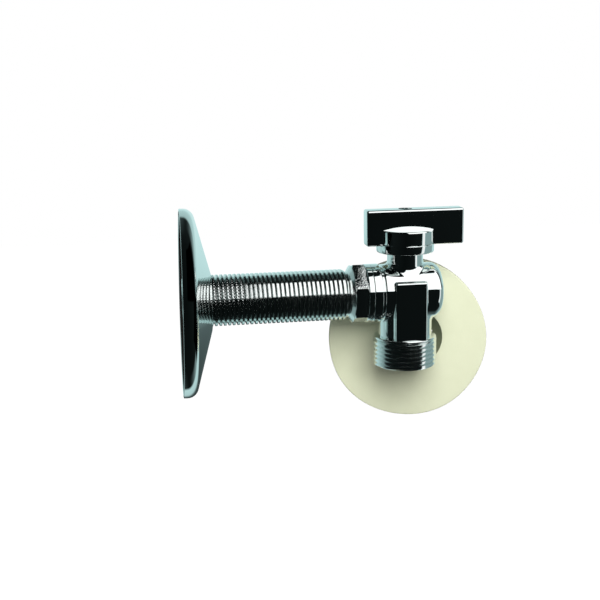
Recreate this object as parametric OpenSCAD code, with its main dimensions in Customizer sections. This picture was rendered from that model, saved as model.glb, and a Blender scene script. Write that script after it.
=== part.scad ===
// Quarter turn washing machine tap with a wall rosette and a loose sealing disc.
// The origin is the centre of the pipe's wall end. The pipe runs along +X to the
// valve, the outlet points down and the handle up. Lengths are millimetres.

/* [Inlet pipe] */
// From the wall end of the pipe to the axis of the valve
valve_reach = 94; // [88:0.5:115]
// Outside diameter of the half inch pipe thread
pipe_d = 20.955; // [20.5:0.005:21.5]
// Bore of the pipe
pipe_bore_d = 15; // [13:0.5:16]
// Chamfer at the wall end of the pipe
pipe_chamfer = 0.9; // [0.3:0.1:1.2]
// Plain length at the wall end, which stands for the thread inside the wall fitting
socket_w = 12; // [8:0.5:16]
// Pitch of the pipe's ridges, which stand for its thread
thread_pitch = 1.814; // [1.7:0.001:2.2]
// Depth of those ridges
thread_depth = 1.1; // [0.8:0.1:1.2]
// Length of the flare in front of the hexagon
flare_w = 2.4; // [1.5:0.1:4]
// Diameter of the flare where it meets the hexagon
flare_d = 23.8; // [22.5:0.1:24.5]
// Bore of the waterway at the ball
waterway_d = 9.6; // [8:0.1:10]
// Width of the hexagon across its flats
hex_af = 22; // [21.5:0.1:22.8]
// Length of the hexagon along the pipe
hex_w = 5.5; // [4:0.5:8]
// How far the hexagon is turned from level flats
hex_turn = 9.5; // [0:0.5:30]
// Diameter of the collar between the hexagon and the body
collar_d = 24.2; // [23.6:0.1:25]
// Length of the collar
collar_w = 2.4; // [2:0.1:4]
// Diameter of the thread that screws into the body
spigot_d = 18; // [17.6:0.1:18.6]

/* [Valve body] */
// Diameter of the barrel that holds the ball
barrel_d = 23.6; // [23:0.1:24.4]
// From the valve's axis to the groove behind the mouth ring
barrel_front = 10.6; // [10:0.1:12]
// From the valve's axis to the closed end of the barrel
barrel_back = 14.4; // [13.5:0.1:16]
// Rounding of the closed end
barrel_round = 4; // [2:0.5:6]
// Length of the mouth ring that the inlet pipe screws into
mouth_w = 3.6; // [3.2:0.1:5]
// Width of the groove between mouth ring and barrel
groove_w = 0.9; // [0.5:0.1:1.5]
// Depth of the groove
groove_depth = 0.9; // [0.4:0.1:1.2]
// Diameter of the neck around the stem
neck_d = 14.84; // [14:0.02:15.4]
// Height of the neck's top above the pipe's axis
neck_top = 18.6; // [18:0.1:19]
// Width of the flat pad on the front
pad_w = 13.25; // [11:0.25:14]
// Height of the pad's upper edge
pad_top = 5.9; // [4:0.1:7]
// Distance of the pad's face from the valve's axis
pad_face = 12.3; // [12:0.1:12.8]
// Rounding of the pad's long edges
pad_round = 0.8; // [0.4:0.1:1.5]

/* [Outlet] */
// Diameter of the outlet between barrel and thread
outlet_d = 22.4; // [21.5:0.1:23.4]
// Outside diameter of the three quarter inch hose thread
hose_d = 26.441; // [26:0.001:27]
// Depth of the thread's shoulder below the pipe's axis
shoulder_depth = 18.4; // [17.5:0.1:20]
// Length of the threaded end below the shoulder
hose_w = 12.6; // [11:0.1:15]
// Rounding of the shoulder
shoulder_round = 1.1; // [0.5:0.1:1.6]
// Chamfer at the outlet's end
outlet_chamfer = 1; // [0.4:0.1:1.3]
// Bore at the outlet's mouth
outlet_bore_d = 17; // [15:0.5:19]
// Depth of that bore
outlet_bore_w = 8; // [6:0.5:10]

/* [Ball and stem] */
// Diameter of the ball
ball_d = 14.4; // [14:0.1:14.8]
// Clearance between the ball and its seats
seat_gap = 0.08; // [0.05:0.01:0.15]
// Length of each seat ring
seat_w = 3.6; // [3:0.1:3.8]
// Clearance of pieces that are screwed or pressed into the body
thread_gap = 0.03; // [0.02:0.01:0.1]
// Clearance of the stem in the neck
stem_gap = 0.05; // [0.02:0.01:0.1]
// Diameter of the stem
stem_d = 7; // [6.6:0.1:7.4]
// Diameter of the stem's retaining flange
flange_d = 10.2; // [9.6:0.1:10.6]
// Thickness of that flange
flange_w = 1.4; // [1:0.1:2]
// Thickness of the thrust washer
washer_w = 0.8; // [0.6:0.1:1]
// Width of the stem's driving tang
tang_w = 3; // [2.6:0.1:3.4]
// Side of the square that drives the handle
square_w = 4.8; // [4.4:0.1:5]
// Thickness of the rubber rings
ring_w = 1.4; // [1.2:0.1:1.6]

/* [Handle] */
// Length of the blade
blade_l = 40; // [34:0.5:46]
// Height of the blade
blade_h = 14.8; // [13:0.1:16]
// Thickness of the blade
blade_w = 7.2; // [6.8:0.1:8]
// Distance of the blade's middle from the stem's axis
blade_offset = 4; // [0:0.5:5]
// Rounding of the blade's edges
blade_round = 0.7; // [0.4:0.1:1.2]
// Height of the blade's lower edge above the pipe's axis
blade_bottom = 19.9; // [19.5:0.1:21]
// Diameter of the skirt
skirt_d = 23.8; // [22:0.1:25]
// Height of the skirt's lower edge above the pipe's axis
skirt_bottom = 17; // [16.5:0.1:17.4]
// Height of the skirt
skirt_h = 3.7; // [3:0.1:4]
// Diameter of the boss
boss_d = 23.3; // [21:0.1:23.5]
// Height of the boss's shoulder above the skirt
boss_h = 5.4; // [4:0.1:6]
// Rise of the boss's crown
crown_h = 2.6; // [1.5:0.1:3.5]
// Diameter of the screw's shank
screw_d = 3; // [2.6:0.1:3.2]
// Diameter of the screw's head
screw_head_d = 5.2; // [5:0.1:5.6]
// Height of the screw's head
screw_head_h = 2; // [1.6:0.1:2.4]

/* [Rosette] */
// Diameter of the wall rosette
rosette_d = 78; // [70:0.5:90]
// Depth of its upright rim
rim_w = 2.6; // [2:0.1:4]
// Rounding between rim and face
rosette_round = 3.8; // [2.5:0.1:5]
// Slope of the conical face
rosette_slope = 15; // [10:0.5:20]
// Thickness of the sheet
sheet_w = 0.9; // [0.6:0.1:1.2]
// Clearance of the rosette around the pipe
rosette_gap = 0.7; // [0.5:0.1:1.5]

/* [Sealing disc] */
// Diameter of the loose foam disc
disc_d = 69; // [60:0.2:76]
// Thickness of the disc
disc_w = 4; // [3:0.5:6]
// Hole in the disc
disc_bore_d = 25; // [22:0.5:27]
// Shift of the hole to the right of the disc's middle
disc_bore_right = 2.4; // [0:0.2:4]
// Rise of the hole above the disc's middle
disc_bore_rise = 1.2; // [0:0.2:3]
// Distance of the disc's face behind the valve's axis
disc_back = 16; // [15:0.5:30]
// Shift of the disc's middle to the right of the valve's axis
disc_right = 2.8; // [0:0.2:5]
// Shift of the disc's middle below the pipe's axis
disc_below = 25.2; // [20:0.2:28]
// Turn of the disc about the upright axis
disc_yaw = 8.5; // [0:0.5:15]

/* [Hidden] */
$fn = 64;

pipe_r = pipe_d / 2;
flare_r = flare_d / 2;
waterway_r = waterway_d / 2;
spigot_r = spigot_d / 2;
collar_r = collar_d / 2;
barrel_r = barrel_d / 2;
neck_r = neck_d / 2;
outlet_r = outlet_d / 2;
hose_r = hose_d / 2;
ball_r = ball_d / 2;
stem_r = stem_d / 2;
flange_r = flange_d / 2;
skirt_r = skirt_d / 2;
boss_r = boss_d / 2;

// Stations along the pipe, from the wall to the valve
mouth_end = valve_reach - barrel_front;
mouth_x = mouth_end - groove_w - mouth_w;
collar_x = mouth_x - collar_w;
hex_x = collar_x - hex_w;
// The seats touch the ball on a ring a little wider than the waterway
seat_bore_r = waterway_r;
seat_r = ball_r + 0.6;
seat_reach = sqrt(pow(ball_r, 2) - pow(waterway_r, 2)) + 1;
chamber_x = valve_reach - seat_reach;
spigot_w = chamber_x - mouth_x;
pipe_bore_w = hex_x + 2;
// The ridges fill the pipe between the plain length and the flare
flare_x = hex_x - flare_w;
ridges = floor((flare_x - socket_w) / thread_pitch);
ridge_x = flare_x - ridges * thread_pitch;
throat_w = (pipe_bore_d - waterway_d) / 2;

// Heights on the valve's axis
flange_bottom = seat_r + 0.2;
flange_top = flange_bottom + flange_w;
washer_top = flange_top + washer_w;
tang_bottom = waterway_r + 0.4;
outlet_end = shoulder_depth + hose_w;
stem_top = neck_top + 8.6;
socket_top = stem_top + 0.2;
blade_top = blade_bottom + blade_h;
boss_top = skirt_bottom + skirt_h + boss_h;
neck_clearance = 0.4;
pocket_top = neck_top + 0.5;
// The screw's head lies sunk in the blade's upper edge
screw_head_top = blade_top - 1;
screw_head_bottom = screw_head_top - screw_head_h;
screw_tip = neck_top + 1;
head_clearance = 0.2;
// Heights of the two grooves for the stem's rings
ring_groove_w = ring_w + 0.3;
stem_ring_z = [washer_top + 1.2, washer_top + 1.2 + ring_groove_w + 1.2];
ring_groove_r = stem_r + stem_gap - ring_w;
body_ring_x = mouth_x + 2.2;
body_ring_groove_r = spigot_r - ring_w;

// A ridge of the pipe and the groove behind it
function ridge(z) = [[pipe_r, z], [pipe_r - thread_depth, z + thread_pitch * 0.42],
    [pipe_r - thread_depth, z + thread_pitch * 0.58]];

// Turns a profile drawn upward from the wall so that it runs along the pipe
module along_pipe() { rotate([0, 90, 0]) children(); }

// A rubber ring that sits with a little play in a groove of this radius
module rubber_ring(groove_r) {
    ring_play = 0.03;
    rotate_extrude() translate([groove_r + ring_w / 2, 0]) circle(d = ring_w - 2 * ring_play, $fn = 16);
}

// A flat rectangle with round corners, centred on the origin
module round_rect(w, h, r) {
    square([w - 2 * r, h], center = true);
    square([w, h - 2 * r], center = true);
    for (sx = [-1, 1], sy = [-1, 1])
        translate([sx * (w / 2 - r), sy * (h / 2 - r)]) circle(r);
}

// A block whose twelve edges are all rounded
module round_block(l, w, h, r) {
    intersection() {
        translate([0, 0, -h]) linear_extrude(2 * h) round_rect(l, w, r);
        rotate([90, 0, 0]) translate([0, 0, -w]) linear_extrude(2 * w) round_rect(l, h, r);
        rotate([90, 0, 90]) translate([0, 0, -l]) linear_extrude(2 * l) round_rect(w, h, r);
    }
}

// The wall end, the pipe, its hexagon and collar, and the spigot turned in one piece
module inlet_pipe() {
    hex_r = hex_af / (2 * cos(30));
    hex_face_r = hex_af / 2 - 0.15;
    hex_clear_r = hex_r + 1;
    hex_slope_w = (hex_clear_r - hex_face_r) * tan(35);
    color("gainsboro") along_pipe() difference() {
        union() {
            rotate_extrude() polygon([[0, 0], [pipe_r - pipe_chamfer, 0], [pipe_r, pipe_chamfer],
                for (i = [0:ridges - 1]) each ridge(ridge_x + i * thread_pitch),
                [pipe_r, flare_x], [flare_r, hex_x], [flare_r - 0.2, hex_x + 0.2],
                [hex_face_r - 1, hex_x + 0.2], [hex_face_r - 1, hex_x + 1], [0, hex_x + 1]]);
            translate([0, 0, hex_x]) intersection() {
                rotate([0, 0, hex_turn]) cylinder(r = hex_r, h = hex_w, $fn = 6);
                rotate_extrude() polygon([[0, 0], [hex_face_r, 0], [hex_clear_r, hex_slope_w],
                    [hex_clear_r, hex_w - hex_slope_w], [hex_face_r, hex_w], [0, hex_w]]);
            }
            rotate_extrude() translate([0, collar_x])
                polygon([[0, -1], [pipe_r - 1, -1], [pipe_r - 1, 0], [collar_r - 0.4, 0], [collar_r, 0.4],
                    [collar_r, collar_w - 0.3], [collar_r - 0.3, collar_w], [0, collar_w]]);
            translate([0, 0, mouth_x - 0.5]) cylinder(r = spigot_r - thread_gap, h = spigot_w + 0.5);
        }
        translate([0, 0, -1]) cylinder(d = pipe_bore_d, h = pipe_bore_w + 1);
        translate([0, 0, pipe_bore_w - 0.01])
            cylinder(d1 = pipe_bore_d, d2 = waterway_d, h = throat_w);
        translate([0, 0, pipe_bore_w]) cylinder(r = waterway_r, h = valve_reach);
        translate([0, 0, body_ring_x]) difference() {
            cylinder(r = spigot_r + 1, h = ring_groove_w);
            translate([0, 0, -1]) cylinder(r = body_ring_groove_r, h = ring_groove_w + 2);
        }
    }
}

// Rubber ring that seals the spigot in the body's mouth
module body_o_ring() {
    color("dimgray") translate([body_ring_x + ring_groove_w / 2, 0, 0]) along_pipe()
        rubber_ring(body_ring_groove_r);
}

// Outside of the barrel and its mouth ring, drawn upward along the pipe
module barrel_form() {
    ring_r = collar_r;
    groove_r = ring_r - groove_depth;
    end_z = valve_reach + barrel_back;
    rotate_extrude() {
        polygon([[0, mouth_x], [ring_r - 0.3, mouth_x], [ring_r, mouth_x + 0.3],
            [ring_r, mouth_end - groove_w - 0.4], [groove_r, mouth_end - groove_w],
            [groove_r, mouth_end], [barrel_r, mouth_end + 0.4],
            [barrel_r, end_z - barrel_round], [barrel_r - barrel_round, end_z], [0, end_z]]);
        translate([barrel_r - barrel_round, end_z - barrel_round]) circle(barrel_round);
    }
}

// Outside of the neck, which widens into the barrel
module neck_form() {
    foot_r = 6;
    foot_z = neck_r + 4;
    rotate_extrude() difference() {
        square([neck_r + 1.5, neck_top - 0.4]);
        translate([neck_r + foot_r, foot_z]) circle(foot_r, $fn = 48);
        translate([neck_r, foot_z]) square([foot_r, neck_top]);
    }
    cylinder(r = neck_r - 0.4, h = neck_top);
}

// Outside of the outlet, from the barrel down to the hose thread
module outlet_form() {
    rotate_extrude() {
        translate([0, -shoulder_depth - 0.5]) square([outlet_r, shoulder_depth + 0.5]);
        polygon([[0, -outlet_end], [hose_r - outlet_chamfer, -outlet_end],
            [hose_r, -outlet_end + outlet_chamfer], [hose_r, -shoulder_depth - shoulder_round],
            [hose_r - shoulder_round, -shoulder_depth], [0, -shoulder_depth]]);
        translate([hose_r - shoulder_round, -shoulder_depth - shoulder_round]) circle(shoulder_round);
    }
}

// The flat pad on the front, which stands on the thread's shoulder
module pad_form() {
    pad_h = pad_top + shoulder_depth;
    translate([0, 0, pad_top - pad_h / 2]) intersection() {
        translate([0, 0, -pad_h / 2 - 0.3]) linear_extrude(pad_h + 0.3)
            round_rect(pad_w, 2 * pad_face, pad_round);
        rotate([90, 0, 90]) translate([0, 0, -pad_w / 2]) linear_extrude(pad_w)
            polygon([[0, -pad_h], [-2 * pad_face, -pad_h], [-pad_face, -pad_h / 2 - 0.3],
                [-pad_face, pad_h / 2 - pad_round], [pad_round - pad_face, pad_h / 2], [0, pad_h / 2]]);
    }
}

// The forged body with its chamber, mouth, stem bore and outlet
module valve_body() {
    color("silver") difference() {
        union() {
            along_pipe() barrel_form();
            translate([valve_reach, 0, 0]) {
                neck_form();
                outlet_form();
                pad_form();
            }
        }
        along_pipe() {
            translate([0, 0, mouth_x - 1]) cylinder(r = spigot_r, h = spigot_w + 1);
            translate([0, 0, chamber_x - 0.01]) cylinder(r = seat_r, h = 2 * seat_reach + 0.01);
            translate([0, 0, valve_reach]) cylinder(r = waterway_r, h = ball_r + 0.5);
        }
        translate([valve_reach, 0, 0]) {
            cylinder(r = flange_r + 0.1, h = washer_top);
            cylinder(r = stem_r + stem_gap, h = neck_top + 1);
            translate([0, 0, -outlet_end - 1]) {
                cylinder(r = waterway_r, h = outlet_end + 1);
                cylinder(d = outlet_bore_d, h = outlet_bore_w + 1);
            }
        }
    }
}

// One of the two rings that hold the ball, with its cup towards the ball
module seat_ring() {
    translate([valve_reach, 0, 0]) rotate([0, -90, 0]) difference() {
        translate([0, 0, seat_reach - seat_w]) cylinder(r = seat_r - thread_gap, h = seat_w);
        cylinder(r = seat_bore_r, h = seat_reach + 1);
        sphere(ball_r + seat_gap);
    }
}

module inlet_seat() { color("white") seat_ring(); }

module back_seat() {
    color("white") translate([valve_reach, 0, 0]) mirror([1, 0, 0])
        translate([-valve_reach, 0, 0]) seat_ring();
}

// The ball is bored from its inlet side to its underside
module ball() {
    color("lightsteelblue") translate([valve_reach, 0, 0]) difference() {
        sphere(ball_r);
        rotate([0, -90, 0]) cylinder(r = waterway_r, h = ball_d);
        rotate([180, 0, 0]) cylinder(r = waterway_r, h = ball_d);
        translate([-tang_w / 2 - 0.05, -ball_d, tang_bottom - 0.05])
            cube([tang_w + 0.1, 2 * ball_d, ball_d]);
    }
}

// The stem drives the ball with its tang and the handle with its square
module stem() {
    // The tang stays inside the ball, and its neck turns between the two seats
    neck_reach = sqrt(pow(seat_reach - seat_w - 0.25, 2) - pow(tang_w / 2, 2));
    color("darkkhaki") translate([valve_reach, 0, 0]) difference() {
        union() {
            intersection() {
                sphere(ball_r - 0.05);
                translate([-tang_w / 2, -ball_r, tang_bottom]) cube([tang_w, ball_d, ball_r]);
            }
            translate([-tang_w / 2, -neck_reach, tang_bottom])
                cube([tang_w, 2 * neck_reach, flange_bottom - tang_bottom + 0.1]);
            translate([0, 0, flange_bottom]) cylinder(r = flange_r, h = flange_w);
            translate([0, 0, flange_bottom]) cylinder(r = stem_r, h = neck_top - flange_bottom);
            translate([-square_w / 2, -square_w / 2, neck_top - 0.1])
                cube([square_w, square_w, stem_top - neck_top + 0.1]);
        }
        for (z = stem_ring_z) translate([0, 0, z]) difference() {
            cylinder(r = stem_r + 1, h = ring_groove_w);
            translate([0, 0, -1]) cylinder(r = ring_groove_r, h = ring_groove_w + 2);
        }
        translate([0, 0, screw_tip]) cylinder(d = screw_d + 2 * thread_gap, h = stem_top);
    }
}

// Low friction washer between the stem's flange and the body
module thrust_washer() {
    color("ivory") translate([valve_reach, 0, flange_top + 0.01]) difference() {
        cylinder(r = flange_r, h = washer_w - 0.02);
        translate([0, 0, -1]) cylinder(r = stem_r + stem_gap, h = washer_w + 2);
    }
}

module stem_o_ring(z) {
    color("dimgray") translate([valve_reach, 0, z + ring_groove_w / 2])
        rubber_ring(ring_groove_r);
}

module stem_o_ring_lower() { stem_o_ring(stem_ring_z[0]); }

module stem_o_ring_upper() { stem_o_ring(stem_ring_z[1]); }

// Revolved part of the handle: a skirt, a boss and its crown
module boss_form() {
    edge = 0.5;
    skirt_top = skirt_bottom + skirt_h;
    rotate_extrude() polygon([[0, skirt_bottom], [skirt_r - edge, skirt_bottom],
        [skirt_r, skirt_bottom + edge], [skirt_r, skirt_top - 0.2], [boss_r, skirt_top],
        [boss_r, boss_top - edge], [boss_r - edge, boss_top],
        [boss_r * 0.66, boss_top + crown_h * 0.6], [blade_w / 2 - 1, boss_top + crown_h], [0, boss_top + crown_h]]);
}

// The cast lever: a blade on a round boss, hollow over the neck and the stem
module handle() {
    color("whitesmoke") translate([valve_reach, 0, 0]) difference() {
        union() {
            boss_form();
            translate([blade_offset, 0, blade_bottom + blade_h / 2])
                round_block(blade_l, blade_w, blade_h, blade_round);
        }
        translate([0, 0, skirt_bottom - 1])
            cylinder(r = neck_r + neck_clearance, h = pocket_top - skirt_bottom + 1);
        translate([-square_w / 2 - thread_gap, -square_w / 2 - thread_gap, pocket_top - 1])
            cube([square_w + 2 * thread_gap, square_w + 2 * thread_gap, socket_top - pocket_top + 1]);
        translate([0, 0, socket_top - 1]) cylinder(d = screw_d + 2 * head_clearance, h = blade_top);
        translate([0, 0, screw_head_bottom])
            cylinder(d = screw_head_d + 2 * head_clearance, h = blade_top);
    }
}

// Socket head screw that holds the handle on the stem
module handle_screw() {
    key_af = screw_head_d * 0.48;
    color("slategray") translate([valve_reach, 0, 0]) difference() {
        union() {
            translate([0, 0, screw_tip + 0.5]) cylinder(d = screw_d, h = screw_head_bottom - screw_tip);
            translate([0, 0, screw_head_bottom]) cylinder(d = screw_head_d, h = screw_head_h);
        }
        translate([0, 0, screw_head_top - screw_head_h * 0.6])
            cylinder(d = key_af / cos(30), h = screw_head_h, $fn = 6);
    }
}

// Pressed sheet dish that slides on the pipe and covers the wall opening
module rosette() {
    outer_r = rosette_d / 2;
    bend_r = outer_r - rosette_round;
    inner_r = pipe_r + rosette_gap;
    // The bend turns the rim into the cone's slope
    tip = 90 - rosette_slope;
    bend = [for (i = [0:8]) tip * i / 8];
    outer = [for (a = bend) [bend_r + rosette_round * cos(a), rim_w + rosette_round * sin(a)]];
    round_in = rosette_round - sheet_w;
    inner = [for (a = bend) [bend_r + round_in * cos(a), rim_w + round_in * sin(a)]];
    outer_end = outer[8];
    inner_end = inner[8];
    outer_rise = outer_end[1] + (outer_end[0] - inner_r) * tan(rosette_slope);
    inner_rise = inner_end[1] + (inner_end[0] - inner_r) * tan(rosette_slope);
    color("silver") along_pipe() rotate_extrude()
        polygon(concat([[outer_r - sheet_w, 0], [outer_r, 0]], outer,
            [[inner_r, outer_rise], [inner_r, inner_rise]],
            [for (i = [8:-1:0]) inner[i]]));
}

// Loose foam disc that seals the wall behind the rosette, laid behind the valve
module sealing_disc() {
    color("beige") translate([valve_reach, 0, 0]) rotate([0, 0, -disc_yaw])
        translate([disc_right, disc_back, -disc_below]) rotate([-90, 0, 0]) difference() {
            cylinder(d = disc_d, h = disc_w);
            translate([disc_bore_right, -disc_bore_rise, -1]) cylinder(d = disc_bore_d, h = disc_w + 2);
        }
}

inlet_pipe();
valve_body();
body_o_ring();
inlet_seat();
back_seat();
ball();
stem();
thrust_washer();
stem_o_ring_lower();
stem_o_ring_upper();
handle();
handle_screw();
rosette();
sealing_disc();
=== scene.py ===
"""Dresses the washing machine tap: chromed metal, cut threads, a foam disc and a small studio.

The CAD model is the frame. Every visible metal piece is rebuilt here as a fine mesh of the same
form, because polished chrome shows each facet, and the threads are cut only here. Sizes are
written in millimetres, as on a drawing, and each mesh is turned into metres as it is made.
"""
from __future__ import annotations

import logging
import math
from dataclasses import dataclass, field
from enum import Enum
from typing import Callable, Sequence

import bmesh
import bpy
import numpy as np
from mathutils import Matrix, Vector

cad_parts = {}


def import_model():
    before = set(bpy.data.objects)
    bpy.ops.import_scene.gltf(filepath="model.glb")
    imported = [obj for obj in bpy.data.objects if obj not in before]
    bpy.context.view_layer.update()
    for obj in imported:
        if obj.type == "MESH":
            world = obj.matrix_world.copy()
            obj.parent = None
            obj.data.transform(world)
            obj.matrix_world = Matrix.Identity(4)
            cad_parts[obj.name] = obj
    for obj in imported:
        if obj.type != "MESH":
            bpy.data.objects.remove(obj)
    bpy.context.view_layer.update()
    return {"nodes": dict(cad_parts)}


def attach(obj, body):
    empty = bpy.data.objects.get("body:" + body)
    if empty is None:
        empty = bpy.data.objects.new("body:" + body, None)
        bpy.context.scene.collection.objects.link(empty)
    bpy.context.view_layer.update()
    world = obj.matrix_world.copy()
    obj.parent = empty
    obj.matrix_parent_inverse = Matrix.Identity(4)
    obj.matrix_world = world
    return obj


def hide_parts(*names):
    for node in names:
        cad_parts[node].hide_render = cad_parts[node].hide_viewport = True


LOG = logging.getLogger("tap")
MM = 0.001
PHOTO_SIDE_PX = 600
Outline = list[tuple[float, float]]
FieldFunction = Callable[[np.ndarray, np.ndarray, np.ndarray], np.ndarray]


class Axis(Enum):
    """The direction that a turned piece is turned about."""

    PIPE = "along +X, from the wall to the valve"
    STEM = "along +Z, up the valve"
    OUTLET = "along -Z, out of the valve"


@dataclass(frozen=True)
class TapSizes:
    """The sizes of the tap that several pieces share, in millimetres."""

    valve_x: float = 94.0
    pipe_r: float = 20.955 / 2
    pipe_bore_r: float = 7.5
    hose_r: float = 26.441 / 2
    pitch: float = 1.814
    thread_depth: float = 1.162
    hex_x: float = 71.0
    hex_w: float = 5.5
    hex_af: float = 22.0
    hex_turn_deg: float = 9.5
    collar_w: float = 2.4
    collar_r: float = 12.1
    mouth_w: float = 3.6
    groove_w: float = 0.9
    barrel_r: float = 11.8
    barrel_end: float = 108.4
    neck_r: float = 7.42
    neck_top: float = 18.6
    outlet_r: float = 11.2
    shoulder_z: float = 18.4
    outlet_end: float = 31.0
    outlet_bore_r: float = 8.5
    outlet_bore_w: float = 8.0
    waterway_r: float = 4.8

    @property
    def collar_x(self) -> float:
        """Where the collar starts along the pipe."""
        return self.hex_x + self.hex_w

    @property
    def mouth_x(self) -> float:
        """Where the body's mouth ring starts along the pipe."""
        return self.collar_x + self.collar_w

    @property
    def barrel_x(self) -> float:
        """Where the body's barrel starts along the pipe."""
        return self.mouth_x + self.mouth_w + self.groove_w


SIZES = TapSizes()


def new_object(name: str, mesh: bpy.types.Mesh) -> bpy.types.Object:
    """Links a mesh to the scene as an object at the origin.

    Args:
        name: The name of the piece.
        mesh: Its mesh, in metres.

    Returns:
        The new object.
    """
    piece = bpy.data.objects.new(name, mesh)
    bpy.context.scene.collection.objects.link(piece)
    return piece


def mesh_from(name: str, points: np.ndarray, faces: Sequence[Sequence[int]]) -> bpy.types.Mesh:
    """Makes a mesh from points in millimetres.

    Args:
        name: The mesh's name.
        points: One row of x, y, z for each point.
        faces: The point numbers of each face.

    Returns:
        The mesh, in metres.
    """
    mesh = bpy.data.meshes.new(name)
    mesh.from_pydata((np.asarray(points, float) * MM).tolist(), [], [list(map(int, f)) for f in faces])
    mesh.update()
    return mesh


def turn_to(points: np.ndarray, axis: Axis, centre_x: float = 0.0) -> np.ndarray:
    """Turns points that were made about +Z so that they lie about another axis.

    Args:
        points: Rows of x, y, z with z along the axis of turning.
        axis: The axis wanted.
        centre_x: Where an upright axis stands along the pipe.

    Returns:
        The turned points.
    """
    x, y, z = points.T
    if axis is Axis.PIPE:
        return np.stack([z, x, y], 1)
    if axis is Axis.STEM:
        return np.stack([x + centre_x, y, z], 1)
    return np.stack([x + centre_x, -y, -z], 1)


def lathe(name: str, outline: Outline, axis: Axis, centre_x: float = 0.0, steps: int = 192,
          ring: bool = False) -> bpy.types.Mesh:
    """Turns an outline of (radius, height) about an axis into a closed mesh.

    Args:
        name: The mesh's name.
        outline: Corners that run up the outside of the section, in millimetres.
        axis: The axis of turning.
        centre_x: Where an upright axis stands along the pipe.
        steps: Number of steps in a full turn.
        ring: True where the outline closes on itself, as on a washer.

    Returns:
        The mesh, in metres.
    """
    outline = [p for p in outline]
    angles = np.arange(steps) * 2 * np.pi / steps
    points: list[tuple[float, float, float]] = []
    rows: list[list[int]] = []
    for radius, height in outline:
        start = len(points)
        if radius < 1e-6:
            points.append((0.0, 0.0, height))
            rows.append([start] * steps)
        else:
            points += [(radius * math.cos(a), radius * math.sin(a), height) for a in angles]
            rows.append(list(range(start, start + steps)))
    faces: list[list[int]] = []
    last = len(rows) if ring else len(rows) - 1
    for i in range(last):
        low, high = rows[i], rows[(i + 1) % len(rows)]
        for j in range(steps):
            k = (j + 1) % steps
            corners = [low[j], low[k], high[k], high[j]]
            face = [c for n, c in enumerate(corners) if c != corners[n - 1]]
            if len(face) > 2:
                faces.append(face)
    return mesh_from(name, turn_to(np.array(points), axis, centre_x), faces)


def arc(centre: tuple[float, float], radius: float, start_deg: float, end_deg: float,
        steps: int = 6) -> Outline:
    """Points along an arc of an outline.

    Args:
        centre: The arc's centre as (radius, height).
        radius: The arc's own radius.
        start_deg: Where it starts, from the outward direction.
        end_deg: Where it ends.
        steps: Number of steps.

    Returns:
        The points, ends included.
    """
    angles = [math.radians(start_deg + (end_deg - start_deg) * i / steps) for i in range(steps + 1)]
    return [(centre[0] + radius * math.cos(a), centre[1] + radius * math.sin(a)) for a in angles]


def tidy_mesh(mesh: bpy.types.Mesh, sharp_deg: float = 28.0, weld: float = 2e-6) -> bpy.types.Mesh:
    """Merges doubles, points the faces outwards and smooths all but the sharp edges.

    Args:
        mesh: The mesh to tidy.
        sharp_deg: Edges with a larger angle stay sharp.
        weld: Points nearer than this become one, in metres.

    Returns:
        The same mesh.
    """
    work = bmesh.new()
    work.from_mesh(mesh)
    bmesh.ops.remove_doubles(work, verts=work.verts, dist=weld)
    bmesh.ops.dissolve_degenerate(work, dist=weld, edges=work.edges)
    bmesh.ops.recalc_face_normals(work, faces=work.faces)
    work.to_mesh(mesh)
    work.free()
    mesh.shade_smooth()
    mesh.set_sharp_from_angle(angle=math.radians(sharp_deg))
    return mesh


def joined(name: str, parts: Sequence[bpy.types.Mesh]) -> bpy.types.Object:
    """Joins finished meshes into one object, which keeps their sharp edges.

    Args:
        name: The piece's name.
        parts: The meshes, each a closed shell.

    Returns:
        The object that holds them all.
    """
    pieces = [new_object(f"{name}_{i}", part) for i, part in enumerate(parts)]
    with bpy.context.temp_override(active_object=pieces[0], selected_editable_objects=pieces):
        bpy.ops.object.join()
    pieces[0].name = name
    pieces[0].data.name = name
    return pieces[0]


def plain_copy(piece: bpy.types.Object) -> bpy.types.Mesh:
    """Evaluates an object's modifiers into a plain mesh and removes the object.

    Args:
        piece: An object with modifiers.

    Returns:
        Its finished mesh.
    """
    bpy.context.view_layer.update()
    evaluated = piece.evaluated_get(bpy.context.evaluated_depsgraph_get())
    mesh = bpy.data.meshes.new_from_object(evaluated)
    bpy.data.objects.remove(piece)
    return mesh


def combine(base: bpy.types.Mesh, tool: bpy.types.Mesh, operation: str) -> bpy.types.Mesh:
    """Unites, cuts or intersects two closed meshes exactly.

    Args:
        base: The mesh that is kept.
        tool: The mesh that acts on it.
        operation: UNION, DIFFERENCE or INTERSECT.

    Returns:
        The result as a new mesh.
    """
    piece, cutter = new_object("base", base), new_object("tool", tool)
    change = piece.modifiers.new("combine", "BOOLEAN")
    change.operation = operation
    change.solver = "EXACT"
    change.object = cutter
    mesh = plain_copy(piece)
    bpy.data.objects.remove(cutter)
    return mesh


def softened(mesh: bpy.types.Mesh, width: float, steps: int = 3, limit_deg: float = 25.0) -> bpy.types.Mesh:
    """Rounds every sharp edge of a mesh.

    Args:
        mesh: The mesh to round.
        width: Width of the rounding, in millimetres.
        steps: Number of faces across it.
        limit_deg: Edges flatter than this stay.

    Returns:
        The rounded mesh.
    """
    piece = new_object("soften", mesh)
    bevel = piece.modifiers.new("round", "BEVEL")
    bevel.width = width * MM
    bevel.segments = steps
    bevel.limit_method = "ANGLE"
    bevel.angle_limit = math.radians(limit_deg)
    bevel.harden_normals = False
    return plain_copy(piece)


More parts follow.
